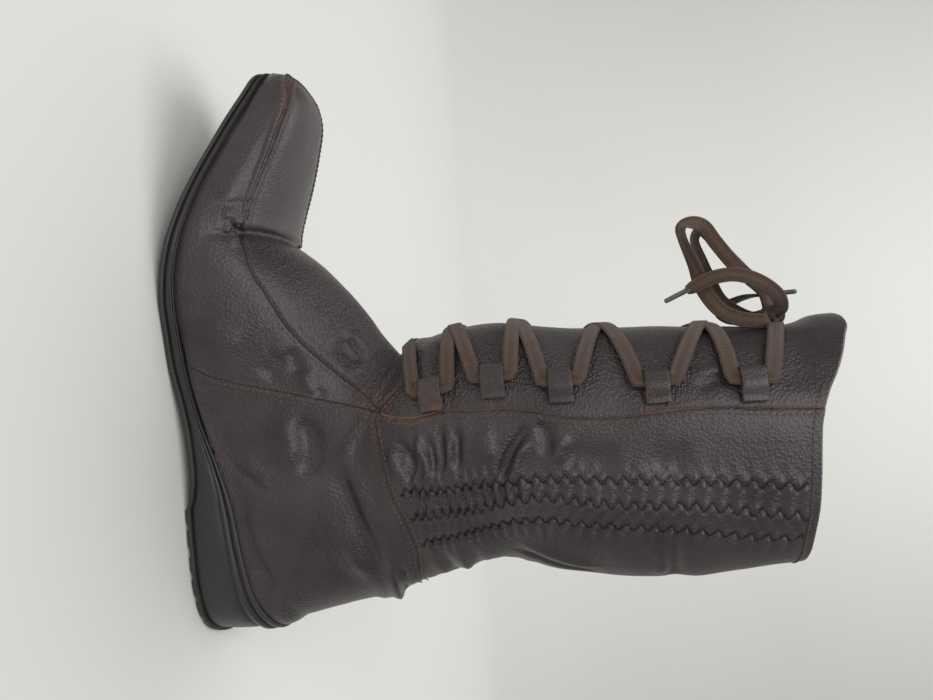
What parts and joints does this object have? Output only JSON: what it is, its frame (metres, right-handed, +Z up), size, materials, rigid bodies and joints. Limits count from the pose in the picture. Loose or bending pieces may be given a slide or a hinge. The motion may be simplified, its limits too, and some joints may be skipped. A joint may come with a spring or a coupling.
{
  "type": "laced leather boot",
  "caption": "Left mid-calf leather boot with a slim upturned square toe, low wedge heel, gathered ankle and a flat lace tied in a bow on the shaft's front.",
  "frame": {"origin": "on the floor under the middle of the boot's length and width", "axes": "+Z up from the sole, +X towards the heel, so the toe points to -X, and -Y is the outer side"},
  "size_m": [0.278, 0.0905, 0.306],
  "materials": {
    "leather": "satin",
    "rubber": "matte, scuffed",
    "lining": "matte",
    "lace": "woven, matte",
    "lace_tip": "satin"
  },
  "bodies": {
    "root": {"outsole": "rubber", "sole_unit": "rubber", "insole": "lining", "upper": "leather", "lace_tab_outer_1": "leather", "lace_tab_inner_1": "leather", "lace_tab_outer_2": "leather", "lace_tab_inner_2": "leather", "lace_tab_outer_3": "leather", "lace_tab_inner_3": "leather", "lace_tab_outer_4": "leather", "lace_tab_inner_4": "leather", "lace_tab_outer_5": "leather", "lace_tab_inner_5": "leather", "lace_crossings": "lace", "bow_knot": "lace", "bow_long_loop": "lace", "bow_short_loop": "lace", "bow_outer_end": "lace", "bow_inner_end": "lace", "lace_tip_outer": "lace_tip", "lace_tip_inner": "lace_tip"}
  },
  "joints": []
}
